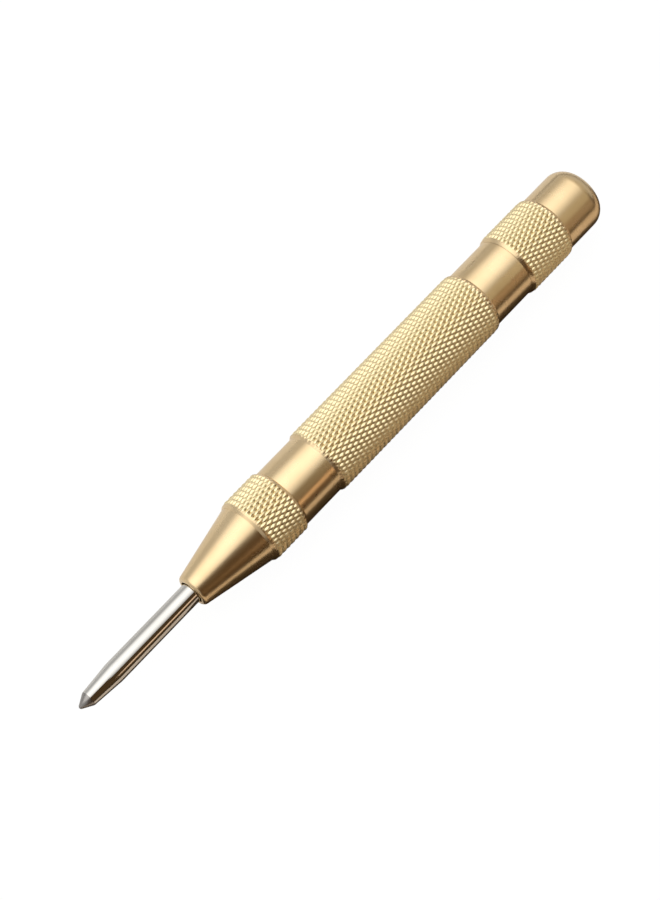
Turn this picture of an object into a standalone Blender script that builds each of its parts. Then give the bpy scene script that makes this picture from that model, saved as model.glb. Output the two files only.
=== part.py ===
"""Automatic centre punch: a spring-loaded marking punch in turned brass and steel.

The tool lies on its side along X with its point towards -X, resting on its knurled rings.
The origin is on the resting surface, under the middle of the tool.

The nose and the adjusting cap screw into the two ends of the barrel. Inside, from the point
to the cap: the hardened punch, a release pin that a light conical spring holds askew, the
hammer, the main spring and the seat that the main spring pushes against.
"""

import math

import bpy

# Driving dimensions, in millimetres. Stations run along the axis from the tip of the point.
MM = 0.001
FIT_GAP = 0.3

OVERALL_LENGTH = 130.0
KNURL_RADIUS = 6.5
BAND_RADIUS = 6.0
KNURL_CHAMFER = 0.55
EDGE_CHAMFER = 0.3

NOSE_FACE = 26.8
NOSE_FACE_RADIUS = 3.22
NOSE_LIP = 0.8
NOSE_CONE_RADIUS = 5.95
NOSE_RING_START = 40.6
NOSE_JOINT = 49.0
GRIP_START = 57.7
GRIP_END = 99.4
CAP_JOINT = 108.4
CAP_RING_END = 119.7
CAP_CORNER = 3.2
CAP_DOME_RISE = 0.25

THREAD_RADIUS = 4.9
NOSE_THREAD_END = 56.0
CAP_THREAD_START = 99.0
THREAD_CHAMFER = 0.5

POINT_FLAT_RADIUS = 0.2
POINT_CONE_END = 2.2
POINT_CONE_RADIUS = 1.37
TAPER_END = 8.3
SHANK_RADIUS = 1.95
PUNCH_HEAD_START = 41.3
PUNCH_HEAD_LENGTH = 3.0
PUNCH_HEAD_RADIUS = 3.4
PUNCH_TAIL_RADIUS = 2.4
PUNCH_TAIL_END = 48.0
PIN_SEAT_RADIUS = 1.15
PIN_SEAT_DEPTH = 1.3

PIN_PIVOT = 47.8
PIN_FOOT_RADIUS = 0.8
PIN_FLANGE_START = 48.45
PIN_FLANGE_END = 50.0
PIN_FLANGE_RADIUS = 3.2
PIN_STEM_RADIUS = 1.25
PIN_COLLAR_START = 57.5
PIN_COLLAR_END = 62.0
PIN_COLLAR_RADIUS = 2.3
PIN_COLLAR_CONE = 1.0
PIN_END = 71.0
PIN_END_CHAMFER = 0.2
PIN_TILT_DEG = 2.4

PARTITION_START = 68.0
PARTITION_END = 71.0
PARTITION_HOLE_RADIUS = 2.65

HAMMER_RADIUS = 4.0
HAMMER_END = 88.0
HAMMER_SPIGOT_RADIUS = 2.1
HAMMER_SPIGOT_LENGTH = 3.0
HAMMER_HOLE_DEPTH = 12.0

MAIN_SPRING_TURNS = 14
MAIN_WIRE = 1.1
MAIN_COIL_RADIUS = 2.9
RETURN_SPRING_TURNS = 7
RETURN_WIRE = 0.5
RETURN_FRONT_RADIUS = 2.75
RETURN_REAR_RADIUS = 3.7
CLOSED_TURN_GAP = 0.16

SEAT_RADIUS = 3.5
SEAT_THICKNESS = 1.5
SEAT_BOSS_RADIUS = 2.1
SEAT_BOSS_LENGTH = 1.5
CAP_BORE_RADIUS = 3.8
CAP_BORE_END = 126.0

OUTER_SIDES = 48
INNER_SIDES = 32
COIL_POINTS_PER_TURN = 10

# Derived dimensions. The knurls rest on one flat facet of their many-sided outline.
AXIS_HEIGHT = KNURL_RADIUS * math.cos(math.pi / OUTER_SIDES)
JOINT_HALF_GAP = FIT_GAP / 2
THREAD_BORE_RADIUS = THREAD_RADIUS + FIT_GAP
THREAD_RELIEF = 1.0
NOSE_BORE_RADIUS = SHANK_RADIUS + FIT_GAP
NOSE_CHAMBER_RADIUS = PUNCH_HEAD_RADIUS + FIT_GAP
NOSE_SHOULDER = PUNCH_HEAD_START - FIT_GAP
BARREL_BORE_RADIUS = HAMMER_RADIUS + FIT_GAP
HAMMER_START = PARTITION_END + FIT_GAP
HAMMER_HOLE_RADIUS = PIN_STEM_RADIUS + FIT_GAP
SEAT_END = CAP_BORE_END - FIT_GAP
SEAT_FACE = SEAT_END - SEAT_THICKNESS


def clear_scene():
    """Remove every object that is already in the scene."""
    for old in list(bpy.data.objects):
        bpy.data.objects.remove(old, do_unlink=True)


def metal(name, colour, roughness):
    """A bare metal material."""
    material = bpy.data.materials.new(name)
    material.use_nodes = True
    shader = material.node_tree.nodes["Principled BSDF"]
    shader.inputs["Base Color"].default_value = (*colour, 1.0)
    shader.inputs["Metallic"].default_value = 1.0
    shader.inputs["Roughness"].default_value = roughness
    material.diffuse_color = (*colour, 1.0)
    return material


def brass(name):
    """Satin brass, as one material for each brass piece."""
    return metal(name, (0.80, 0.64, 0.38), 0.28)


def place(piece, station, collection):
    """Put a piece that was made along local Z on the tool's axis, its origin at the station."""
    piece.location = ((station - OVERALL_LENGTH / 2) * MM, 0.0, AXIS_HEIGHT * MM)
    piece.rotation_euler = (0.0, math.pi / 2, 0.0)
    collection.objects.link(piece)


def arc(station, radius, size, start_deg, end_deg, steps=6):
    """Outline points on an arc about (station, radius); 0 degrees faces rear, 90 faces out."""
    points = []
    for step in range(steps + 1):
        angle = math.radians(start_deg + (end_deg - start_deg) * step / steps)
        points.append((station + size * math.cos(angle), radius + size * math.sin(angle)))
    return points


def turned(name, outline, origin, sides, material, collection):
    """A turned piece from (station, radius) points.

    The outline runs along the outside from front to rear. It starts and ends on the axis, or
    it comes back along the bore and closes on its first point.
    """
    bored = outline[0][1] > 0.0
    half_facet = math.pi / sides
    points = []
    for station, radius in reversed(outline):
        across = radius * MM
        along = (station - origin) * MM
        points.append((across * math.cos(half_facet), across * math.sin(half_facet), along))
    edges = [(index, index + 1) for index in range(len(points) - 1)]
    if bored:
        edges.append((len(points) - 1, 0))
    mesh = bpy.data.meshes.new(name)
    mesh.from_pydata(points, edges, [])
    mesh.materials.append(material)
    piece = bpy.data.objects.new(name, mesh)
    place(piece, origin, collection)
    screw = piece.modifiers.new("Turn", "SCREW")
    screw.axis = "Z"
    screw.steps = sides
    screw.render_steps = sides
    screw.use_merge_vertices = True
    screw.merge_threshold = 0.000001
    screw.use_smooth_shade = True
    return piece


def coil_station(turn, turns, length, wire):
    """How far the wire's centre has advanced, with one closed turn at each end of the coil."""
    closed_pitch = wire + CLOSED_TURN_GAP
    open_turns = turns - 2
    open_pitch = (length - wire - 2 * closed_pitch) / open_turns
    front = min(turn, 1.0)
    middle = min(max(turn - 1.0, 0.0), open_turns)
    rear = max(turn - 1.0 - open_turns, 0.0)
    return closed_pitch * (front + rear) + open_pitch * middle


def coil_spring(name, start, end, turns, wire, front_radius, rear_radius, material, collection):
    """A round-wire compression spring between two stations, cylindrical or conical."""
    curve = bpy.data.curves.new(name, "CURVE")
    curve.dimensions = "3D"
    curve.bevel_depth = wire / 2 * MM
    curve.bevel_resolution = 2
    curve.use_fill_caps = True
    curve.materials.append(material)
    count = turns * COIL_POINTS_PER_TURN + 1
    spline = curve.splines.new("POLY")
    spline.points.add(count - 1)
    for index, point in enumerate(spline.points):
        turn = index / COIL_POINTS_PER_TURN
        along = wire / 2 + coil_station(turn, turns, end - start, wire)
        radius = front_radius + (rear_radius - front_radius) * index / (count - 1)
        angle = 2 * math.pi * turn
        across = (radius * math.cos(angle) * MM, radius * math.sin(angle) * MM)
        point.co = (*across, along * MM, 1.0)
    piece = bpy.data.objects.new(name, curve)
    place(piece, start, collection)
    return piece


def knurled_ring(start, end):
    """Outline of a raised ring with chamfered edges."""
    return [
        (start, BAND_RADIUS),
        (start + KNURL_CHAMFER, KNURL_RADIUS),
        (end - KNURL_CHAMFER, KNURL_RADIUS),
        (end, BAND_RADIUS),
    ]


def make_punch_point(collection):
    """The hardened point: blunt ground cone, slow taper, shank, stop head in the nose, tail."""
    head_end = PUNCH_HEAD_START + PUNCH_HEAD_LENGTH
    outline = [
        (0.0, 0.0),
        (0.0, POINT_FLAT_RADIUS),
        (POINT_CONE_END, POINT_CONE_RADIUS),
        (TAPER_END, SHANK_RADIUS),
        (PUNCH_HEAD_START, SHANK_RADIUS),
        (PUNCH_HEAD_START, PUNCH_HEAD_RADIUS - EDGE_CHAMFER),
        (PUNCH_HEAD_START + EDGE_CHAMFER, PUNCH_HEAD_RADIUS),
        (head_end - EDGE_CHAMFER, PUNCH_HEAD_RADIUS),
        (head_end, PUNCH_HEAD_RADIUS - EDGE_CHAMFER),
        (head_end, PUNCH_TAIL_RADIUS),
        (PUNCH_TAIL_END, PUNCH_TAIL_RADIUS),
        (PUNCH_TAIL_END, PIN_SEAT_RADIUS),
        (PUNCH_TAIL_END - PIN_SEAT_DEPTH / 2, PIN_SEAT_RADIUS),
        (PUNCH_TAIL_END - PIN_SEAT_DEPTH, 0.0),
    ]
    steel = metal("punch_steel", (0.60, 0.60, 0.59), 0.15)
    turned("punch_point", outline, PUNCH_HEAD_START, INNER_SIDES, steel, collection)


def make_nose_cone(collection):
    """The tapered nose that guides the punch, with a knurled ring and a threaded stub."""
    lip = arc(NOSE_FACE + NOSE_LIP, NOSE_FACE_RADIUS - NOSE_LIP, NOSE_LIP, 180, 100, 4)
    rear_face = NOSE_JOINT - JOINT_HALF_GAP
    ring = knurled_ring(NOSE_RING_START, rear_face)
    outline = [
        *lip,
        (NOSE_RING_START, NOSE_CONE_RADIUS),
        *ring,
        (rear_face, THREAD_RADIUS),
        (NOSE_THREAD_END - THREAD_CHAMFER, THREAD_RADIUS),
        (NOSE_THREAD_END, THREAD_RADIUS - THREAD_CHAMFER),
        (NOSE_THREAD_END, NOSE_CHAMBER_RADIUS),
        (NOSE_SHOULDER, NOSE_CHAMBER_RADIUS),
        (NOSE_SHOULDER, NOSE_BORE_RADIUS),
        (NOSE_FACE, NOSE_BORE_RADIUS),
    ]
    turned("nose_cone", outline, NOSE_JOINT, OUTER_SIDES, brass("nose_brass"), collection)


def make_barrel(collection):
    """The barrel: plain bands at both ends of the knurled grip, stepped bore with a partition."""
    front_face = NOSE_JOINT + JOINT_HALF_GAP
    rear_face = CAP_JOINT - JOINT_HALF_GAP
    front_seat = NOSE_THREAD_END + THREAD_RELIEF
    rear_seat = CAP_THREAD_START - THREAD_CHAMFER
    outline = [
        (front_face, BAND_RADIUS),
        *knurled_ring(GRIP_START, GRIP_END),
        (rear_face, BAND_RADIUS),
        (rear_face, THREAD_BORE_RADIUS),
        (rear_seat, THREAD_BORE_RADIUS),
        (rear_seat, BARREL_BORE_RADIUS),
        (PARTITION_END, BARREL_BORE_RADIUS),
        (PARTITION_END, PARTITION_HOLE_RADIUS),
        (PARTITION_START, PARTITION_HOLE_RADIUS),
        (PARTITION_START, BARREL_BORE_RADIUS),
        (front_seat, BARREL_BORE_RADIUS),
        (front_seat, THREAD_BORE_RADIUS),
        (front_face, THREAD_BORE_RADIUS),
    ]
    turned("barrel", outline, OVERALL_LENGTH / 2, OUTER_SIDES, brass("barrel_brass"), collection)


def make_adjusting_cap(collection):
    """The cap that sets the force: threaded stub, knurled ring, plain domed end, deep bore."""
    front_face = CAP_JOINT + JOINT_HALF_GAP
    corner_station = OVERALL_LENGTH - CAP_DOME_RISE - CAP_CORNER
    corner_radius = BAND_RADIUS - CAP_CORNER
    end_flat_radius = corner_radius / 2
    outline = [
        (CAP_THREAD_START, THREAD_RADIUS - THREAD_CHAMFER),
        (CAP_THREAD_START + THREAD_CHAMFER, THREAD_RADIUS),
        (front_face, THREAD_RADIUS),
        *knurled_ring(front_face, CAP_RING_END),
        *arc(corner_station, corner_radius, CAP_CORNER, 90, 0),
        (OVERALL_LENGTH, end_flat_radius),
        (OVERALL_LENGTH, 0.0),
        (CAP_BORE_END, 0.0),
        (CAP_BORE_END, CAP_BORE_RADIUS),
        (CAP_THREAD_START, CAP_BORE_RADIUS),
    ]
    cap_brass = brass("cap_brass")
    turned("adjusting_cap", outline, CAP_JOINT, OUTER_SIDES, cap_brass, collection)


def make_release_pin(collection):
    """The release pin, askew on its foot: flange for the return spring, centring collar, stem."""
    foot = arc(PIN_PIVOT, 0.0, PIN_FOOT_RADIUS, 180, 90, 4)
    outline = [
        (PIN_PIVOT - PIN_FOOT_RADIUS, 0.0),
        *foot[1:],
        (PIN_FLANGE_START, PIN_FOOT_RADIUS),
        (PIN_FLANGE_START, PIN_FLANGE_RADIUS),
        (PIN_FLANGE_END, PIN_FLANGE_RADIUS),
        (PIN_FLANGE_END, PIN_STEM_RADIUS),
        (PIN_COLLAR_START - PIN_COLLAR_CONE, PIN_STEM_RADIUS),
        (PIN_COLLAR_START, PIN_COLLAR_RADIUS),
        (PIN_COLLAR_END, PIN_COLLAR_RADIUS),
        (PIN_COLLAR_END + PIN_COLLAR_CONE, PIN_STEM_RADIUS),
        (PIN_END - PIN_END_CHAMFER, PIN_STEM_RADIUS),
        (PIN_END, PIN_STEM_RADIUS - PIN_END_CHAMFER),
        (PIN_END, 0.0),
    ]
    steel = metal("pin_steel", (0.55, 0.55, 0.55), 0.25)
    pin = turned("release_pin", outline, PIN_PIVOT, INNER_SIDES, steel, collection)
    pin.rotation_euler.y += math.radians(PIN_TILT_DEG)


def make_hammer(collection):
    """The hammer: a heavy slug with a hole in front for the release pin, and a spring spigot."""
    spigot_end = HAMMER_END + HAMMER_SPIGOT_LENGTH
    hole_end = HAMMER_START + HAMMER_HOLE_DEPTH
    outline = [
        (HAMMER_START, HAMMER_RADIUS - EDGE_CHAMFER),
        (HAMMER_START + EDGE_CHAMFER, HAMMER_RADIUS),
        (HAMMER_END - EDGE_CHAMFER, HAMMER_RADIUS),
        (HAMMER_END, HAMMER_RADIUS - EDGE_CHAMFER),
        (HAMMER_END, HAMMER_SPIGOT_RADIUS),
        (spigot_end - EDGE_CHAMFER, HAMMER_SPIGOT_RADIUS),
        (spigot_end, HAMMER_SPIGOT_RADIUS - EDGE_CHAMFER),
        (spigot_end, 0.0),
        (hole_end, 0.0),
        (hole_end, HAMMER_HOLE_RADIUS),
        (HAMMER_START, HAMMER_HOLE_RADIUS),
    ]
    steel = metal("hammer_steel", (0.42, 0.42, 0.43), 0.35)
    turned("hammer", outline, HAMMER_START, INNER_SIDES, steel, collection)


def make_spring_seat(collection):
    """The thrust disc in the bottom of the cap, which lets the cap turn against the spring."""
    boss_start = SEAT_FACE - SEAT_BOSS_LENGTH
    outline = [
        (boss_start, 0.0),
        (boss_start, SEAT_BOSS_RADIUS - EDGE_CHAMFER),
        (boss_start + EDGE_CHAMFER, SEAT_BOSS_RADIUS),
        (SEAT_FACE, SEAT_BOSS_RADIUS),
        (SEAT_FACE, SEAT_RADIUS),
        (SEAT_END, SEAT_RADIUS),
        (SEAT_END, 0.0),
    ]
    steel = metal("seat_steel", (0.50, 0.50, 0.50), 0.30)
    turned("spring_seat", outline, SEAT_FACE, INNER_SIDES, steel, collection)


def make_springs(collection):
    """The light conical spring on the release pin, and the heavy main spring."""
    spring_steel = metal("return_spring_steel", (0.50, 0.50, 0.48), 0.30)
    coil_spring(
        "return_spring", PIN_FLANGE_END + FIT_GAP, PARTITION_START - FIT_GAP,
        RETURN_SPRING_TURNS, RETURN_WIRE, RETURN_FRONT_RADIUS, RETURN_REAR_RADIUS,
        spring_steel, collection,
    )
    heavy_steel = metal("main_spring_steel", (0.30, 0.30, 0.31), 0.40)
    coil_spring(
        "main_spring", HAMMER_END + FIT_GAP, SEAT_FACE - FIT_GAP,
        MAIN_SPRING_TURNS, MAIN_WIRE, MAIN_COIL_RADIUS, MAIN_COIL_RADIUS,
        heavy_steel, collection,
    )


def main():
    clear_scene()
    collection = bpy.data.collections.new("centre_punch")
    bpy.context.scene.collection.children.link(collection)
    make_punch_point(collection)
    make_nose_cone(collection)
    make_barrel(collection)
    make_adjusting_cap(collection)
    make_release_pin(collection)
    make_hammer(collection)
    make_spring_seat(collection)
    make_springs(collection)


main()
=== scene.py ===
"""Looks of the automatic centre punch: knurled satin brass and a polished steel point.

Every CAD node is replaced by a finely turned piece in the same place. The pieces are built
as rings of points round the tool's axis, so knurls and threads are real relief. Lengths are
in millimetres and stations run along the axis from the tip, as a turner would dimension it.
"""

import math

import bmesh
import bpy
import numpy as np
from mathutils import Matrix, Vector


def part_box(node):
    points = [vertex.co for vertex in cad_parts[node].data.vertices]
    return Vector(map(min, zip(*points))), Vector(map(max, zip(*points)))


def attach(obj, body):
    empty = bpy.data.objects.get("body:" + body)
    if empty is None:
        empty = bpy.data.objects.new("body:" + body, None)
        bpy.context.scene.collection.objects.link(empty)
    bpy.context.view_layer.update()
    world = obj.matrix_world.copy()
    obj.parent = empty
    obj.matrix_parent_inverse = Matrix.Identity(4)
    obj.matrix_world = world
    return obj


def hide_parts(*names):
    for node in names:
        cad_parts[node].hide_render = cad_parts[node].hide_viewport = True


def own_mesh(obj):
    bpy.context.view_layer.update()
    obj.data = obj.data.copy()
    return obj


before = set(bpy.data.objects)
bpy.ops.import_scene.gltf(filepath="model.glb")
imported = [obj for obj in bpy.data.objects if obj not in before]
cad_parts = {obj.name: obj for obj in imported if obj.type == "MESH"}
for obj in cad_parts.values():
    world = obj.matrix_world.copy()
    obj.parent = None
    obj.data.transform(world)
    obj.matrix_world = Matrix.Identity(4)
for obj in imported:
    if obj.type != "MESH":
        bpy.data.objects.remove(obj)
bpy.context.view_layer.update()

# --- The frame: where the axis lies, and the sizes that the CAD model fixes -----------------
MM = 0.001
TIP_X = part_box("punch_point")[0].x
AXIS_Z = (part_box("barrel")[0].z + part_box("barrel")[1].z) / 2
TOOL_LENGTH = (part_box("adjusting_cap")[1].x - TIP_X) / MM
CAP_START = (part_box("adjusting_cap")[0].x - TIP_X) / MM
NOSE_END = (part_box("nose_cone")[1].x - TIP_X) / MM
NOSE_START = (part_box("nose_cone")[0].x - TIP_X) / MM
BARREL_START = (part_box("barrel")[0].x - TIP_X) / MM
BARREL_END = (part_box("barrel")[1].x - TIP_X) / MM
JOINT_GAP = 0.3
NOSE_JOINT = BARREL_START - JOINT_GAP / 2
CAP_JOINT = BARREL_END + JOINT_GAP / 2

# --- Brass, outside ------------------------------------------------------------------------
KNURL_RADIUS = 6.5
BAND_RADIUS = 6.0
BAND_EDGE = 0.05
KNURL_CHAMFER = 0.55
CLEAN_CHAMFER = 0.45
CLEAN_CHAMFER_RADIUS = 6.33
NOSE_FACE_RADIUS = 3.22
NOSE_LIP = 0.8
NOSE_LIP_END_DEG = 100
NOSE_CONE_RADIUS = 5.95
NOSE_RING_START = 40.6
GRIP_START = 57.7
GRIP_END = 99.4
CAP_RING_END = 119.7
CAP_CORNER = 3.2
CAP_CORNER_STEPS = 16
CAP_DOME_RISE = 0.25
VISIBLE_SEAM = 0.02

# --- Brass, inside -------------------------------------------------------------------------
NOSE_BORE_RADIUS = 2.25
NOSE_BORE_CHAMFER = 0.08
NOSE_CHAMBER_RADIUS = 3.7
NOSE_SHOULDER = 41.0
PARTITION_START = 68.0
PARTITION_END = 71.0
PARTITION_HOLE_RADIUS = 2.65
BARREL_BORE_RADIUS = 4.3
THREAD_BORE_RADIUS = 5.2
NOSE_THREAD_ROOM = 1.0
CAP_THREAD_ROOM = 0.5
CAP_BORE_RADIUS = 3.8
CAP_BORE_END = 126.0

# --- Punch ---------------------------------------------------------------------------------
POINT_START = 0.25
POINT_FLAT_RADIUS = 0.15
POINT_EDGE_END = 0.38
POINT_EDGE_RADIUS = 0.33
POINT_CONE_END = 2.2
POINT_CONE_RADIUS = 1.36
POINT_END = 2.45
POINT_END_RADIUS = 1.44
TAPER_END = 8.3
SHANK_RADIUS = 1.95
PUNCH_HEAD_START = 41.3
PUNCH_HEAD_END = 44.3
PUNCH_HEAD_RADIUS = 3.4
PUNCH_HEAD_CHAMFER = 0.3
PUNCH_TAIL_RADIUS = 2.4
PUNCH_TAIL_END = 48.0
PIN_SEAT_RADIUS = 1.15
PIN_SEAT_DEPTH = 1.3

# --- Release pin, hammer and seat ----------------------------------------------------------
INNER_EDGE = 0.25
PIN_PIVOT = 47.8
PIN_FOOT_RADIUS = 0.8
PIN_FLANGE_START = 48.45
PIN_FLANGE_END = 50.0
PIN_FLANGE_RADIUS = 3.2
PIN_STEM_RADIUS = 1.25
PIN_COLLAR_START = 57.5
PIN_COLLAR_END = 62.0
PIN_COLLAR_RADIUS = 2.3
PIN_COLLAR_CONE = 1.0
PIN_END = 71.0
PIN_END_CHAMFER = 0.2
PIN_TILT_DEG = 2.4

HAMMER_START = 71.3
HAMMER_END = 88.0
HAMMER_RADIUS = 4.0
HAMMER_HOLE_RADIUS = 1.55
HAMMER_HOLE_DEPTH = 12.0
HAMMER_HOLE_CONE = 0.8
HAMMER_SPIGOT_LENGTH = 3.0
SPIGOT_RADIUS = 2.1
SEAT_FACE = 124.2
SEAT_END = 125.7
SEAT_RADIUS = 3.5
SEAT_BOSS_LENGTH = 1.5

# --- Springs -------------------------------------------------------------------------------
RETURN_START = 50.3
RETURN_END = 67.7
RETURN_TURNS = 7
RETURN_WIRE = 0.5
RETURN_FRONT_RADIUS = 2.75
RETURN_REAR_RADIUS = 3.7
MAIN_START = 88.3
MAIN_END = 123.9
MAIN_TURNS = 14
MAIN_WIRE = 1.1
MAIN_RADIUS = 2.9
CLOSED_TURN_GAP = 0.16
COIL_POINTS_PER_TURN = 48
WIRE_SIDES = 16

# --- Knurls and threads --------------------------------------------------------------------
KNURL_COUNT = 44
KNURL_PITCH = 2.15
KNURL_DEPTH = 0.36
KNURL_CROWN = 1.35
SAMPLES_PER_KNURL = 8
KNURL_STEP = KNURL_PITCH / SAMPLES_PER_KNURL
THREAD_MAJOR_RADIUS = 5.0
THREAD_LEAD = 1.0
THREAD_DEPTH = 0.55
THREAD_ROOT_SHARE = 0.2
THREAD_FLANK_SHARE = 0.65
THREAD_CHAMFER = 0.5
THREAD_RELIEF_RADIUS = 4.4
THREAD_RELIEF_LENGTH = 0.8
SAMPLES_PER_THREAD = 10
THREAD_STEP = THREAD_LEAD / SAMPLES_PER_THREAD

AROUND = KNURL_COUNT * SAMPLES_PER_KNURL
INNER_AROUND = 96
ROUND_STEPS = 8
TURNED_SHARP_DEG = 32
WIRE_SHARP_DEG = 60

# --- Finishes: how close the lathe lines and the stains lie, and how much they change --------
LINES_PER_METRE = 7000.0
LINE_STRETCH = 150
STAINS_PER_METRE = 160.0
STAIN_STRENGTH = 0.35
GLOSS_VARIATION = 0.1
# The knurl's groove darkening below: tarnish together with painted shade in its pits.
TARNISH_AND_SHADE_START = 0.68
TARNISH_AND_SHADE_FULL = 0.92
TARNISH_AND_SHADE_STRENGTH = 0.95
TARNISH_AND_SHADE_LEAST_SHARE = 0.7
TARNISH_AND_SHADE_ROUGHENING = 1.6

# --- Stage, in metres and in degrees from straight up towards -Y ----------------------------
ROOM_GREY = (0.58, 0.58, 0.58, 1.0)
BLACK_CLOTH = (0.03, 0.02, 0.01)
FLAG_DISTANCE = 0.40
UPPER_FLAG = {"from_up_deg": 44.5, "distance": FLAG_DISTANCE, "width": 0.20}
LOWER_FLAG = {"from_up_deg": 74, "distance": FLAG_DISTANCE, "width": 0.24}
FLAGS_START = -0.5
UPPER_DARK_END = 0.14
LOWER_DARK_END = 0.20
REAR_END = 0.32
END_START = 0.35
END_END = 0.6
END_FLAG_SIDE = 2.0
END_FLAG_PLACE = (0.375, 0.0, 1.22)
FLOOR_SIDE = 6.0
TABLE_DROP = 0.0003
FAR_PAPER_DROP = 0.0002
NEAR_STRIP_DROP = 0.0001
FAR_PAPER_END = 0.12
FAR_PAPER_NEAR_EDGE = 0.002
FAR_PAPER_REACH = 1.5
# Corners of the near strip as (x, distance towards -Y). Its inner edge follows the end of the
# tool's own shadow: between it and the tool the dark table is a painted shadow, seen in the metal.
NEAR_STRIP_OUTER = ((-0.2, 0.03), (-0.045, 0.035), (-0.01, 0.065), (0.03, 0.045), (0.3, 0.04))
NEAR_STRIP_INNER = (
    (0.3, 0.010), (0.06, 0.012), (0.04, 0.018), (0.005, 0.018), (0.002, 0.022),
    (-0.034, 0.020), (-0.040, 0.008), (-0.2, 0.007),
)

# --- Camera, in millimetres and degrees ----------------------------------------------------
CAMERA_LENS = 88.0
CAMERA_AZIMUTH = -48.69
CAMERA_ELEVATION = 65.26
CAMERA_DISTANCE = 373.8
CAMERA_AIM = (-3.67, -0.07, 6.5)

PLAIN, KNURL, THREAD = range(3)


# --- Outlines ------------------------------------------------------------------------------

def plain(*points):
    """Outline points on a smooth turned surface."""
    return [(station, radius, PLAIN) for station, radius in points]


def arc(station, radius, size, start_deg, end_deg, steps=ROUND_STEPS):
    """Points on an arc about (station, radius); 0 degrees faces the cap, 90 faces outwards."""
    points = []
    for step in range(steps + 1):
        angle = math.radians(start_deg + (end_deg - start_deg) * step / steps)
        points.append((station + size * math.cos(angle), radius + size * math.sin(angle), PLAIN))
    return points


def knurled_ring(start, end):
    """A raised knurled ring: chamfered at both ends, with a row of points every sample."""
    first = math.ceil((start + KNURL_CHAMFER) / KNURL_STEP)
    last = math.floor((end - KNURL_CHAMFER) / KNURL_STEP)
    rows = [(index * KNURL_STEP, KNURL_RADIUS, KNURL) for index in range(first, last + 1)]
    return [
        *plain((start, BAND_RADIUS), (start + CLEAN_CHAMFER, CLEAN_CHAMFER_RADIUS)),
        *rows,
        *plain((end - CLEAN_CHAMFER, CLEAN_CHAMFER_RADIUS), (end, BAND_RADIUS)),
    ]


def threaded_stub(start, end):
    """A male thread between two stations, chamfered at both ends."""
    rows = []
    for index in range(round((end - start) / THREAD_STEP) + 1):
        station = start + index * THREAD_STEP
        from_edge = min(station - start, end - station)
        cut = max(0.0, THREAD_CHAMFER - from_edge)
        rows.append((station, THREAD_MAJOR_RADIUS - cut, THREAD))
    return rows


# --- Meshes --------------------------------------------------------------------------------

def rolled_groove(place):
    """Depth of one family of grooves: 1 along the middle of a groove, 0 on a ridge."""
    from_middle = np.abs((place + 0.5) % 1.0 - 0.5) * 2
    return (1.0 - from_middle) ** KNURL_CROWN


def knurl_depth(turn, station):
    """Depth of the diamond knurl from 0 to 1: two crossing families, deepest where they meet."""
    start = turn * KNURL_COUNT
    along = station / KNURL_PITCH
    return (rolled_groove(start + along) + rolled_groove(start - along)) / 2


def thread_radius(turn, station):
    """Radius of a right-hand 60 degree thread with a flat crest and root."""
    across = np.abs((station / THREAD_LEAD - turn) % 1.0 - 0.5) * 2
    height = np.clip((across - THREAD_ROOT_SHARE) / THREAD_FLANK_SHARE, 0.0, 1.0)
    return THREAD_MAJOR_RADIUS - THREAD_DEPTH * (1.0 - height)


def ring_points(outline, around):
    """Points of every ring about the tool's axis, ring after ring.

    The second array says how deep each point lies in a knurl's groove, from 0 to 1.
    """
    stations, radii, kinds = (np.array(column)[:, None] for column in zip(*outline))
    turn = np.arange(around)[None, :] / around
    depth = np.where(kinds == KNURL, knurl_depth(turn, stations), 0.0)
    radius = radii - depth * KNURL_DEPTH
    radius = np.where(kinds == THREAD, np.minimum(radius, thread_radius(turn, stations)), radius)
    angle = 2 * math.pi * turn
    x = np.broadcast_to(TIP_X + stations * MM, radius.shape)
    y, z = radius * MM * np.cos(angle), AXIS_Z + radius * MM * np.sin(angle)
    return np.stack([x, y, z], -1).reshape(-1, 3), depth.reshape(-1)


def follows_right_groove(row, column):
    """Whether a knurl quad's diagonal runs with the grooves that lean to the right."""
    right = (column + row + 1) % SAMPLES_PER_KNURL
    left = (column - row) % SAMPLES_PER_KNURL
    if right == 0 or left == 0:
        return right == 0
    return right < SAMPLES_PER_KNURL / 2


def ring_faces(outline, around):
    """Faces between neighbouring rings, and between the last ring and the first.

    A ring of no radius is one point. Knurl quads are split in two along their grooves.
    """
    faces = []
    for ring, (station, radius, kind) in enumerate(outline):
        after = (ring + 1) % len(outline)
        _, next_radius, next_kind = outline[after]
        if radius == 0 and next_radius == 0:
            continue
        row = round(station / KNURL_STEP)
        for column in range(around):
            beside = (column + 1) % around
            a, b = ring * around + column, after * around + column
            d, c = ring * around + beside, after * around + beside
            if radius == 0:
                faces.append((ring * around, c, b))
            elif next_radius == 0:
                faces.append((a, d, after * around))
            elif kind != KNURL or next_kind != KNURL:
                faces.append((a, d, c, b))
            elif follows_right_groove(row, column):
                faces += [(a, d, b), (b, d, c)]
            else:
                faces += [(a, d, c), (a, c, b)]
    return faces


def finish_mesh(mesh, materials, sharp_deg):
    """Give a mesh its materials and smooth shading, with its sharp edges kept."""
    for material in materials:
        mesh.materials.append(material)
    mesh.shade_smooth()
    mesh.set_sharp_from_angle(angle=math.radians(sharp_deg))
    return mesh


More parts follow.
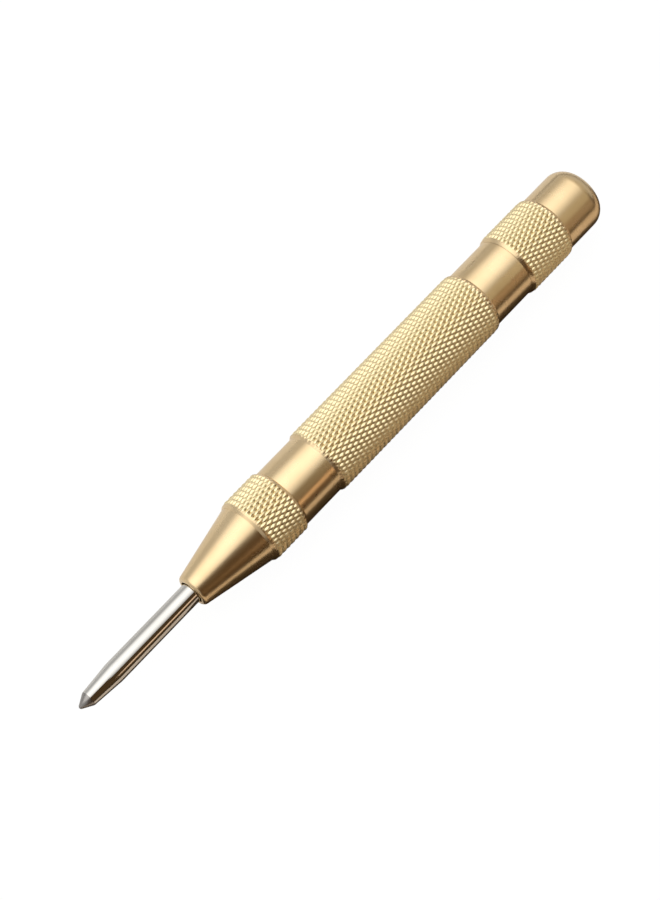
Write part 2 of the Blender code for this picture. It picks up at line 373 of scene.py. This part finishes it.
def turned_mesh(name, outline, materials, around=AROUND):
    """A turned mesh from outline rows, from the front along the outside to the rear.

    It starts and ends on the axis, or comes back along its bore and closes on its first row.
    A knurl takes the second of the materials.
    """
    mesh = bpy.data.meshes.new(name)
    points, groove_depth = ring_points(outline, around)
    faces = ring_faces(outline, around)
    mesh.from_pydata(points.tolist(), [], faces)
    groove = mesh.attributes.new("groove", "FLOAT", "POINT")
    groove.data.foreach_set("value", groove_depth)
    for polygon, face in zip(mesh.polygons, faces):
        kinds = {outline[corner // around][2] for corner in face}
        polygon.material_index = int(kinds == {KNURL})
    shape = bmesh.new()
    shape.from_mesh(mesh)
    bmesh.ops.delete(shape, geom=[v for v in shape.verts if not v.link_faces], context="VERTS")
    shape.to_mesh(mesh)
    shape.free()
    return finish_mesh(mesh, materials, TURNED_SHARP_DEG)


def coil_mesh(name, start, end, turns, wire, front_radius, rear_radius, material):
    """A round-wire compression spring between two stations, with one closed turn at each end."""
    count = turns * COIL_POINTS_PER_TURN + 1
    turn = np.linspace(0.0, turns, count)
    front_closed = wire + CLOSED_TURN_GAP
    rear_closed = end - start - wire - front_closed
    advance = (0, front_closed, rear_closed, end - start - wire)
    station = start + wire / 2 + np.interp(turn, (0, 1, turns - 1, turns), advance)
    radius = front_radius + (rear_radius - front_radius) * turn / turns
    angle = 2 * math.pi * turn
    outwards = np.stack([np.zeros(count), np.sin(angle), -np.cos(angle)], -1)
    middle = np.stack([station, np.zeros(count), np.zeros(count)], -1) + radius[:, None] * outwards
    forwards = np.gradient(middle, axis=0)
    forwards /= np.linalg.norm(forwards, axis=1)[:, None]
    sideways = np.cross(forwards, outwards)
    round_wire = 2 * math.pi * np.arange(WIRE_SIDES) / WIRE_SIDES
    ring = outwards[:, None] * np.cos(round_wire)[None, :, None]
    ring = ring + sideways[:, None] * np.sin(round_wire)[None, :, None]
    points = (middle[:, None] + ring * wire / 2).reshape(-1, 3) * MM + (TIP_X, 0.0, AXIS_Z)
    faces = [list(range(WIRE_SIDES))[::-1], list(range(len(points) - WIRE_SIDES, len(points)))]
    for index in range(count - 1):
        for side in range(WIRE_SIDES):
            beside = (side + 1) % WIRE_SIDES
            a, b = index * WIRE_SIDES + side, index * WIRE_SIDES + beside
            faces.append((a, b, b + WIRE_SIDES, a + WIRE_SIDES))
    mesh = bpy.data.meshes.new(name)
    mesh.from_pydata(points.tolist(), [], faces)
    return finish_mesh(mesh, [material], WIRE_SHARP_DEG)


def show(mesh, body, node):
    """Put a mesh in the scene as the piece that takes its CAD node's place."""
    piece = bpy.data.objects.new(mesh.name, mesh)
    bpy.context.scene.collection.objects.link(piece)
    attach(piece, body)
    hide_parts(node)
    return piece


# --- Materials -----------------------------------------------------------------------------

def node_material(name):
    """A new node material with its Principled shader."""
    material = bpy.data.materials.new(name)
    material.use_nodes = True
    return material, material.node_tree, material.node_tree.nodes["Principled BSDF"]


def add(tree, kind, **settings):
    """A node of a kind, with its named settings and input values."""
    node = tree.nodes.new(kind)
    for key, value in settings.items():
        if key in node.bl_rna.properties:
            setattr(node, key, value)
        else:
            node.inputs[key.replace("_", " ")].default_value = value
    return node


def turned_metal(name, colour, stain_colour, roughness, line_depth, anisotropy):
    """Bare metal with fine lathe lines round the axis, faint stains and an uneven polish."""
    material, tree, shader = node_material(name)
    link = tree.links.new
    place = add(tree, "ShaderNodeTexCoord")
    # Stretching the noise round the axis leaves fine rings along it.
    across = LINES_PER_METRE / LINE_STRETCH
    rings = add(tree, "ShaderNodeMapping", Scale=(LINES_PER_METRE, across, across))
    lines = add(tree, "ShaderNodeTexNoise", Scale=1.0, Detail=2.0, Roughness=0.6)
    stains = add(tree, "ShaderNodeTexNoise", Scale=STAINS_PER_METRE, Detail=4.0, Roughness=0.55)
    tint = add(tree, "ShaderNodeMix", data_type="RGBA")
    tint.inputs["A"].default_value = (*colour, 1.0)
    tint.inputs["B"].default_value = (*stain_colour, 1.0)
    stain_amount = add(
        tree, "ShaderNodeMapRange", From_Min=0.4, From_Max=0.8, To_Max=STAIN_STRENGTH,
    )
    gloss = add(
        tree, "ShaderNodeMapRange", From_Min=0.25, From_Max=0.75,
        To_Min=roughness * (1 - GLOSS_VARIATION), To_Max=roughness * (1 + GLOSS_VARIATION),
    )
    bump = add(tree, "ShaderNodeBump", Strength=1.0, Distance=line_depth * MM)
    tangent = add(tree, "ShaderNodeTangent", direction_type="RADIAL", axis="X")
    link(place.outputs["Object"], rings.inputs["Vector"])
    link(rings.outputs["Vector"], lines.inputs["Vector"])
    link(place.outputs["Object"], stains.inputs["Vector"])
    link(stains.outputs["Fac"], stain_amount.inputs["Value"])
    link(stain_amount.outputs["Result"], tint.inputs["Factor"])
    link(tint.outputs["Result"], shader.inputs["Base Color"])
    link(stains.outputs["Fac"], gloss.inputs["Value"])
    link(gloss.outputs["Result"], shader.inputs["Roughness"])
    link(lines.outputs["Fac"], bump.inputs["Height"])
    link(bump.outputs["Normal"], shader.inputs["Normal"])
    link(tangent.outputs["Tangent"], shader.inputs["Tangent"])
    shader.inputs["Metallic"].default_value = 1.0
    shader.inputs["Anisotropic"].default_value = anisotropy
    shader.inputs["Anisotropic Rotation"].default_value = 0.25
    return material


def knurled_metal(name, colour, groove_tarnish_and_shade_colour, roughness):
    """Rolled knurl: facets of a lighter brass that is partly painted light, with tarnish and
    painted shade darkening the bottom of the grooves.
    """
    material, tree, shader = node_material(name)
    link = tree.links.new
    place = add(tree, "ShaderNodeTexCoord")
    stains = add(tree, "ShaderNodeTexNoise", Scale=STAINS_PER_METRE, Detail=4.0, Roughness=0.55)
    groove = add(tree, "ShaderNodeAttribute", attribute_name="groove")
    # Darkening by groove depth: tarnish together with painted shade in the pits.
    tarnish_and_shade = add(
        tree, "ShaderNodeMapRange",
        From_Min=TARNISH_AND_SHADE_START, From_Max=TARNISH_AND_SHADE_FULL, To_Max=TARNISH_AND_SHADE_STRENGTH,
    )
    uneven = add(
        tree, "ShaderNodeMapRange", From_Min=0.3, From_Max=0.7, To_Min=TARNISH_AND_SHADE_LEAST_SHARE,
    )
    amount = add(tree, "ShaderNodeMath", operation="MULTIPLY")
    tint = add(tree, "ShaderNodeMix", data_type="RGBA")
    tint.inputs["A"].default_value = (*colour, 1.0)
    tint.inputs["B"].default_value = (*groove_tarnish_and_shade_colour, 1.0)
    gloss = add(
        tree, "ShaderNodeMapRange", To_Min=roughness, To_Max=roughness * TARNISH_AND_SHADE_ROUGHENING,
    )
    link(place.outputs["Object"], stains.inputs["Vector"])
    link(groove.outputs["Fac"], tarnish_and_shade.inputs["Value"])
    link(stains.outputs["Fac"], uneven.inputs["Value"])
    link(tarnish_and_shade.outputs["Result"], amount.inputs[0])
    link(uneven.outputs["Result"], amount.inputs[1])
    link(amount.outputs["Value"], tint.inputs["Factor"])
    link(tint.outputs["Result"], shader.inputs["Base Color"])
    link(amount.outputs["Value"], gloss.inputs["Value"])
    link(gloss.outputs["Result"], shader.inputs["Roughness"])
    shader.inputs["Metallic"].default_value = 1.0
    return material


BRASS = turned_metal(
    "satin_brass", colour=(0.85, 0.65, 0.385), stain_colour=(0.74, 0.52, 0.25),
    roughness=0.28, line_depth=0.0006, anisotropy=0.5,
)
# The knurl's base colour is lighter than the bands' brass: painted light that brightens the grip.
KNURLED_BRASS = knurled_metal(
    "knurled_brass", colour=(0.99, 0.83, 0.50), groove_tarnish_and_shade_colour=(0.10, 0.06, 0.02), roughness=0.33,
)
STEEL = turned_metal(
    "polished_steel", colour=(0.68, 0.66, 0.62), stain_colour=(0.55, 0.52, 0.47),
    roughness=0.10, line_depth=0.0001, anisotropy=0.4,
)
GROUND_STEEL = turned_metal(
    "ground_steel", colour=(0.36, 0.34, 0.32), stain_colour=(0.12, 0.10, 0.09),
    roughness=0.30, line_depth=0.006, anisotropy=0.3,
)
INNER_STEEL = turned_metal(
    "turned_steel", colour=(0.45, 0.45, 0.45), stain_colour=(0.30, 0.28, 0.26),
    roughness=0.30, line_depth=0.001, anisotropy=0.4,
)
SPRING_STEEL = turned_metal(
    "spring_steel", colour=(0.34, 0.34, 0.35), stain_colour=(0.22, 0.20, 0.19),
    roughness=0.35, line_depth=0.0003, anisotropy=0.2,
)


# --- Pieces --------------------------------------------------------------------------------

def make_nose():
    """The nose: rounded lip, cone, knurled ring, threaded stub, punch bore and chamber."""
    ring_end = NOSE_JOINT - VISIBLE_SEAM / 2
    thread_start = ring_end + THREAD_RELIEF_LENGTH
    lip_station, lip_radius = NOSE_START + NOSE_LIP, NOSE_FACE_RADIUS - NOSE_LIP
    outline = [
        *plain((NOSE_START, NOSE_BORE_RADIUS + NOSE_BORE_CHAMFER)),
        *arc(lip_station, lip_radius, NOSE_LIP, 180, NOSE_LIP_END_DEG),
        *plain((NOSE_RING_START, NOSE_CONE_RADIUS)),
        *knurled_ring(NOSE_RING_START, ring_end),
        *plain((ring_end, THREAD_RELIEF_RADIUS), (thread_start, THREAD_RELIEF_RADIUS)),
        *threaded_stub(thread_start, NOSE_END),
        *plain(
            (NOSE_END, NOSE_CHAMBER_RADIUS),
            (NOSE_SHOULDER, NOSE_CHAMBER_RADIUS),
            (NOSE_SHOULDER, NOSE_BORE_RADIUS),
            (NOSE_START + NOSE_BORE_CHAMFER, NOSE_BORE_RADIUS),
        ),
    ]
    show(turned_mesh("nose", outline, [BRASS, KNURLED_BRASS]), "nose_cone", "nose_cone")


def make_barrel():
    """The barrel: two plain bands, the long knurled grip and the stepped bore."""
    front = NOSE_JOINT + VISIBLE_SEAM / 2
    rear = CAP_JOINT - VISIBLE_SEAM / 2
    nose_thread_end = NOSE_END + NOSE_THREAD_ROOM
    cap_thread_end = CAP_START - CAP_THREAD_ROOM
    outline = [
        *plain((front, BAND_RADIUS - BAND_EDGE), (front + BAND_EDGE, BAND_RADIUS)),
        *knurled_ring(GRIP_START, GRIP_END),
        *plain(
            (rear - BAND_EDGE, BAND_RADIUS),
            (rear, BAND_RADIUS - BAND_EDGE),
            (rear, THREAD_BORE_RADIUS),
            (cap_thread_end, THREAD_BORE_RADIUS),
            (cap_thread_end, BARREL_BORE_RADIUS),
            (PARTITION_END, BARREL_BORE_RADIUS),
            (PARTITION_END, PARTITION_HOLE_RADIUS),
            (PARTITION_START, PARTITION_HOLE_RADIUS),
            (PARTITION_START, BARREL_BORE_RADIUS),
            (nose_thread_end, BARREL_BORE_RADIUS),
            (nose_thread_end, THREAD_BORE_RADIUS),
            (front, THREAD_BORE_RADIUS),
        ),
    ]
    show(turned_mesh("grip_barrel", outline, [BRASS, KNURLED_BRASS]), "barrel", "barrel")


def make_cap():
    """The cap: threaded stub, knurled ring, plain end with a rounded edge and domed face."""
    front = CAP_JOINT + VISIBLE_SEAM / 2
    thread_end = front - THREAD_RELIEF_LENGTH
    corner_station = TOOL_LENGTH - CAP_DOME_RISE - CAP_CORNER
    corner_radius = BAND_RADIUS - CAP_CORNER
    outline = [
        *plain((CAP_START, CAP_BORE_RADIUS)),
        *threaded_stub(CAP_START, thread_end),
        *plain((thread_end, THREAD_RELIEF_RADIUS), (front, THREAD_RELIEF_RADIUS)),
        *knurled_ring(front, CAP_RING_END),
        *arc(corner_station, corner_radius, CAP_CORNER, 90, 0, CAP_CORNER_STEPS),
        *plain(
            (TOOL_LENGTH, corner_radius / 2),
            (TOOL_LENGTH, 0.0),
            (CAP_BORE_END, 0.0),
            (CAP_BORE_END, CAP_BORE_RADIUS),
        ),
    ]
    show(turned_mesh("cap", outline, [BRASS, KNURLED_BRASS]), "adjusting_cap", "adjusting_cap")


def make_punch():
    """The punch: blunt ground point, slow taper, shank, and its head inside the nose."""
    outline = plain(
        (POINT_START, 0.0),
        (POINT_START, POINT_FLAT_RADIUS),
        (POINT_EDGE_END, POINT_EDGE_RADIUS),
        (POINT_CONE_END, POINT_CONE_RADIUS),
        (POINT_END, POINT_END_RADIUS),
        (TAPER_END, SHANK_RADIUS),
        (PUNCH_HEAD_START, SHANK_RADIUS),
        (PUNCH_HEAD_START, PUNCH_HEAD_RADIUS - PUNCH_HEAD_CHAMFER),
        (PUNCH_HEAD_START + PUNCH_HEAD_CHAMFER, PUNCH_HEAD_RADIUS),
        (PUNCH_HEAD_END - PUNCH_HEAD_CHAMFER, PUNCH_HEAD_RADIUS),
        (PUNCH_HEAD_END, PUNCH_HEAD_RADIUS - PUNCH_HEAD_CHAMFER),
        (PUNCH_HEAD_END, PUNCH_TAIL_RADIUS),
        (PUNCH_TAIL_END, PUNCH_TAIL_RADIUS),
        (PUNCH_TAIL_END, PIN_SEAT_RADIUS),
        (PUNCH_TAIL_END - PIN_SEAT_DEPTH / 2, PIN_SEAT_RADIUS),
        (PUNCH_TAIL_END - PIN_SEAT_DEPTH, 0.0),
    )
    mesh = turned_mesh("punch", outline, [STEEL, GROUND_STEEL], INNER_AROUND)
    for polygon in mesh.polygons:
        polygon.material_index = int(polygon.center.x < TIP_X + POINT_END * MM)
    show(mesh, "punch_point", "punch_point")


def make_pin():
    """The release pin, held askew on its round foot: spring flange, collar and long stem."""
    outline = [
        *plain((PIN_PIVOT - PIN_FOOT_RADIUS, 0.0)),
        *arc(PIN_PIVOT, 0.0, PIN_FOOT_RADIUS, 170, 90),
        *plain(
            (PIN_FLANGE_START, PIN_FOOT_RADIUS),
            (PIN_FLANGE_START, PIN_FLANGE_RADIUS - INNER_EDGE),
            (PIN_FLANGE_START + INNER_EDGE, PIN_FLANGE_RADIUS),
            (PIN_FLANGE_END - INNER_EDGE, PIN_FLANGE_RADIUS),
            (PIN_FLANGE_END, PIN_FLANGE_RADIUS - INNER_EDGE),
            (PIN_FLANGE_END, PIN_STEM_RADIUS),
            (PIN_COLLAR_START - PIN_COLLAR_CONE, PIN_STEM_RADIUS),
            (PIN_COLLAR_START, PIN_COLLAR_RADIUS),
            (PIN_COLLAR_END, PIN_COLLAR_RADIUS),
            (PIN_COLLAR_END + PIN_COLLAR_CONE, PIN_STEM_RADIUS),
            (PIN_END - PIN_END_CHAMFER, PIN_STEM_RADIUS),
            (PIN_END, PIN_STEM_RADIUS - PIN_END_CHAMFER),
            (PIN_END, 0.0),
        ),
    ]
    mesh = turned_mesh("pin", outline, [INNER_STEEL], INNER_AROUND)
    pivot = Vector((TIP_X + PIN_PIVOT * MM, 0.0, AXIS_Z))
    tilt = Matrix.Rotation(math.radians(PIN_TILT_DEG), 4, "Y")
    mesh.transform(Matrix.Translation(pivot) @ tilt @ Matrix.Translation(-pivot))
    show(mesh, "release_pin", "release_pin")


def make_hammer():
    """The hammer: a heavy slug with a hole in front for the release pin, and a spring spigot."""
    spigot_end = HAMMER_END + HAMMER_SPIGOT_LENGTH
    hole_end = HAMMER_START + HAMMER_HOLE_DEPTH
    outline = plain(
        (HAMMER_START, HAMMER_RADIUS - INNER_EDGE),
        (HAMMER_START + INNER_EDGE, HAMMER_RADIUS),
        (HAMMER_END - INNER_EDGE, HAMMER_RADIUS),
        (HAMMER_END, HAMMER_RADIUS - INNER_EDGE),
        (HAMMER_END, SPIGOT_RADIUS),
        (spigot_end - INNER_EDGE, SPIGOT_RADIUS),
        (spigot_end, SPIGOT_RADIUS - INNER_EDGE),
        (spigot_end, 0.0),
        (hole_end + HAMMER_HOLE_CONE, 0.0),
        (hole_end, HAMMER_HOLE_RADIUS),
        (HAMMER_START, HAMMER_HOLE_RADIUS),
    )
    show(turned_mesh("slug", outline, [INNER_STEEL], INNER_AROUND), "hammer", "hammer")


def make_seat():
    """The thrust disc in the bottom of the cap, with a boss that centres the main spring."""
    boss_start = SEAT_FACE - SEAT_BOSS_LENGTH
    outline = plain(
        (boss_start, 0.0),
        (boss_start, SPIGOT_RADIUS - INNER_EDGE),
        (boss_start + INNER_EDGE, SPIGOT_RADIUS),
        (SEAT_FACE, SPIGOT_RADIUS),
        (SEAT_FACE, SEAT_RADIUS - INNER_EDGE),
        (SEAT_FACE + INNER_EDGE, SEAT_RADIUS),
        (SEAT_END - INNER_EDGE, SEAT_RADIUS),
        (SEAT_END, SEAT_RADIUS - INNER_EDGE),
        (SEAT_END, 0.0),
    )
    show(turned_mesh("seat", outline, [INNER_STEEL], INNER_AROUND), "spring_seat", "spring_seat")


def squash_towards_rear(piece):
    """Give a spring its own copy of its mesh."""
    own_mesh(piece)


def make_springs():
    """The light conical return spring and the heavy main spring."""
    light = coil_mesh(
        "light_spring", RETURN_START, RETURN_END, RETURN_TURNS, RETURN_WIRE,
        RETURN_FRONT_RADIUS, RETURN_REAR_RADIUS, SPRING_STEEL,
    )
    light_piece = show(light, "return_spring", "return_spring")
    squash_towards_rear(light_piece)
    heavy = coil_mesh(
        "heavy_spring", MAIN_START, MAIN_END, MAIN_TURNS, MAIN_WIRE,
        MAIN_RADIUS, MAIN_RADIUS, SPRING_STEEL,
    )
    heavy_piece = show(heavy, "barrel", "main_spring")
    squash_towards_rear(heavy_piece)


# --- Stage, light and camera ---------------------------------------------------------------

def matt(name, colour, glow=0.0, glow_colour=(1.0, 1.0, 1.0)):
    """A plain matt material, which may glow: on the floor the glow keeps it white with faint
    shadows, on the cloths and cards the glow is painted light.
    """
    material, _, shader = node_material(name)
    shader.inputs["Base Color"].default_value = (*colour, 1.0)
    shader.inputs["Roughness"].default_value = 0.9
    shader.inputs["Specular IOR Level"].default_value = 0.0
    shader.inputs["Emission Color"].default_value = (*glow_colour, 1.0)
    shader.inputs["Emission Strength"].default_value = glow
    return material


def glowing(name, middle, edge, falloff):
    """A diffuser: brightest along the middle of its width, fading towards both long edges."""
    material = bpy.data.materials.new(name)
    material.use_nodes = True
    tree = material.node_tree
    tree.nodes.clear()
    link = tree.links.new
    place = add(tree, "ShaderNodeTexCoord")
    parts = add(tree, "ShaderNodeSeparateXYZ")
    # 4 u (1 - u) is 1 in the middle and 0 at the edges.
    rest = add(tree, "ShaderNodeMath", operation="SUBTRACT")
    rest.inputs[0].default_value = 1.0
    product = add(tree, "ShaderNodeMath", operation="MULTIPLY")
    bump = add(tree, "ShaderNodeMath", operation="MULTIPLY")
    bump.inputs[1].default_value = 4.0
    shaped = add(tree, "ShaderNodeMath", operation="POWER")
    shaped.inputs[1].default_value = falloff
    strength = add(tree, "ShaderNodeMapRange", To_Min=edge, To_Max=middle)
    emission = add(tree, "ShaderNodeEmission")
    output = add(tree, "ShaderNodeOutputMaterial")
    link(place.outputs["Generated"], parts.inputs["Vector"])
    link(parts.outputs["Y"], rest.inputs[1])
    link(parts.outputs["Y"], product.inputs[0])
    link(rest.outputs["Value"], product.inputs[1])
    link(product.outputs["Value"], bump.inputs[0])
    link(bump.outputs["Value"], shaped.inputs[0])
    link(shaped.outputs["Value"], strength.inputs["Value"])
    link(strength.outputs["Result"], emission.inputs["Strength"])
    link(emission.outputs["Emission"], output.inputs["Surface"])
    return material


def aim(item, from_up_deg, distance, x):
    """Put a lamp or a card out from the tool's axis, parallel to it and facing it."""
    angle = math.radians(from_up_deg)
    away = Vector((0.0, -math.sin(angle), math.cos(angle)))
    item.location = Vector((x, 0.0, AXIS_Z)) + away * distance
    along = Vector((1.0, 0.0, 0.0))
    item.rotation_euler = Matrix((along, away.cross(along), away)).transposed().to_euler()


def softbox(name, start_x, end_x, from_up_deg, distance, width, radiance, colour):
    """A rectangular area lamp along the tool between two X positions."""
    lamp = bpy.data.lights.new(name, "AREA")
    lamp.shape = "RECTANGLE"
    length = end_x - start_x
    lamp.size, lamp.size_y = length, width
    lamp.energy = radiance * math.pi * length * width
    lamp.color = colour
    box = bpy.data.objects.new(name, lamp)
    bpy.context.scene.collection.objects.link(box)
    box.visible_camera = False
    aim(box, from_up_deg, distance, (start_x + end_x) / 2)


def sheet(name, corners, material):
    """A flat sheet that isn't part of the object, seen only where the metal mirrors it."""
    mesh = bpy.data.meshes.new(name)
    mesh.from_pydata(corners, [], [range(len(corners))])
    mesh.materials.append(material)
    flat = bpy.data.objects.new(name, mesh)
    bpy.context.scene.collection.objects.link(flat)
    flat.visible_camera = False
    return flat


def rectangle(start_x, end_x, start_y, end_y):
    """Corners of a rectangle, in turn."""
    return (start_x, start_y), (end_x, start_y), (end_x, end_y), (start_x, end_y)


def card(name, length, width, material):
    """A rectangular sheet in the XY plane about its own origin."""
    corners = rectangle(-length / 2, length / 2, -width / 2, width / 2)
    return sheet(name, [(x, y, 0.0) for x, y in corners], material)


def aimed_card(name, material, start_x, end_x, from_up_deg, distance, width):
    """A card along the tool between two X positions, facing it."""
    flag = card(name, end_x - start_x, width, material)
    aim(flag, from_up_deg, distance, (start_x + end_x) / 2)


def paper(name, outline, drop, material):
    """A sheet just under the floor, from (x, distance towards -Y) points."""
    sheet(name, [(x, -near, -drop) for x, near in outline], material)


def make_floor():
    """White paper for the camera; under it, only for the metal to mirror, the dressed table: dark
    near the tool as a painted shadow, with lit cards beyond.
    """
    floor = card("floor", FLOOR_SIDE, FLOOR_SIDE, matt("white_paper", (0.06, 0.06, 0.06), 0.97))
    floor.visible_camera = True
    floor.visible_glossy = False
    floor.visible_diffuse = False
    floor.visible_shadow = False
    # Dark table: a painted shadow of the tool on the floor, seen only in the metal.
    dark = matt("dark_table_painted_shadow", (0.07, 0.05, 0.03))
    # The white card glows a little: painted light on the far paper, seen in the metal.
    white = matt("white_card_painted_glow", (0.72, 0.72, 0.72), 0.10)
    cream = matt("cream_card", (0.78, 0.66, 0.54))
    half = FLOOR_SIDE / 2
    far_paper = rectangle(-FAR_PAPER_REACH, FAR_PAPER_END, -FAR_PAPER_REACH, FAR_PAPER_NEAR_EDGE)
    paper("table", rectangle(-half, half, -half, half), TABLE_DROP, dark)
    paper("far_paper", far_paper, FAR_PAPER_DROP, white)
    paper("near_strip", (*NEAR_STRIP_OUTER, *NEAR_STRIP_INNER), NEAR_STRIP_DROP, cream)


def make_lights():
    """Grey room, a large soft light overhead, dark flags on the near side with a faint painted
    warm glow, cloths at the rear and the end that glow as painted light, a warm strip.
    """
    world = bpy.data.worlds.new("grey_room")
    world.use_nodes = True
    world.node_tree.nodes["Background"].inputs["Color"].default_value = ROOM_GREY
    bpy.context.scene.world = world
    diffuser = glowing("diffuser", middle=1.62, edge=0.58, falloff=1.7)
    aimed_card("key_diffuser", diffuser, -0.65, 0.37, from_up_deg=-18, distance=0.45, width=0.96)
    # The dark flags glow faintly warm: painted light that warms the dark reflections.
    dark = matt("dark_cloth_painted_warm_glow", BLACK_CLOTH, 0.07, (1.0, 0.55, 0.22))
    # The rear cloths are black but glow sand and tan: painted light, seen in the metal.
    sand_painted_light = matt("sand_cloth_painted_light", BLACK_CLOTH, 0.62, (1.0, 0.90, 0.68))
    tan_painted_light = matt("tan_cloth_painted_light", BLACK_CLOTH, 0.36, (1.0, 0.74, 0.48))
    aimed_card("upper_flag", dark, FLAGS_START, UPPER_DARK_END, **UPPER_FLAG)
    aimed_card("nose_flag", dark, FLAGS_START, -0.05, from_up_deg=27, distance=0.395, width=0.08)
    aimed_card("lower_flag", dark, FLAGS_START, LOWER_DARK_END, **LOWER_FLAG)
    aimed_card("upper_end_flag", dark, END_START, END_END, **UPPER_FLAG)
    aimed_card("lower_end_flag", dark, END_START, END_END, **LOWER_FLAG)
    aimed_card("upper_rear_flag_painted_light", sand_painted_light, UPPER_DARK_END, REAR_END, **UPPER_FLAG)
    aimed_card("lower_rear_flag_painted_light", tan_painted_light, LOWER_DARK_END, REAR_END, **LOWER_FLAG)
    # The end cloth is black but glows warm: painted light behind the cap, seen in the metal.
    end_cloth_painted_light = matt("end_cloth_painted_light", BLACK_CLOTH, 0.42, (1.0, 0.90, 0.70))
    end_flag_painted_light = card("end_flag_painted_light", END_FLAG_SIDE, END_FLAG_SIDE, end_cloth_painted_light)
    end_flag_painted_light.rotation_euler = (0.0, math.pi / 2, 0.0)
    end_flag_painted_light.location = END_FLAG_PLACE
    softbox(
        "warm_strip", -0.02, 0.15, from_up_deg=69, distance=0.36, width=0.075,
        radiance=0.95, colour=(1.0, 0.70, 0.47),
    )


def make_camera():
    """A short telephoto view from above, with the tool's tip nearest the lens."""
    lens = bpy.data.cameras.new("camera")
    lens.lens = CAMERA_LENS
    lens.clip_start = 0.01
    camera = bpy.data.objects.new("camera", lens)
    bpy.context.scene.collection.objects.link(camera)
    azimuth = math.radians(CAMERA_AZIMUTH)
    elevation = math.radians(CAMERA_ELEVATION)
    away = Vector((
        math.sin(azimuth) * math.cos(elevation),
        -math.cos(azimuth) * math.cos(elevation),
        math.sin(elevation),
    ))
    camera.location = Vector(CAMERA_AIM) * MM + away * CAMERA_DISTANCE * MM
    camera.rotation_euler = away.to_track_quat("Z", "Y").to_euler()
    bpy.context.scene.camera = camera


make_nose()
make_barrel()
make_cap()
make_punch()
make_pin()
make_hammer()
make_seat()
make_springs()
make_floor()
make_lights()
make_camera()
bpy.context.scene.view_settings.view_transform = "Standard"
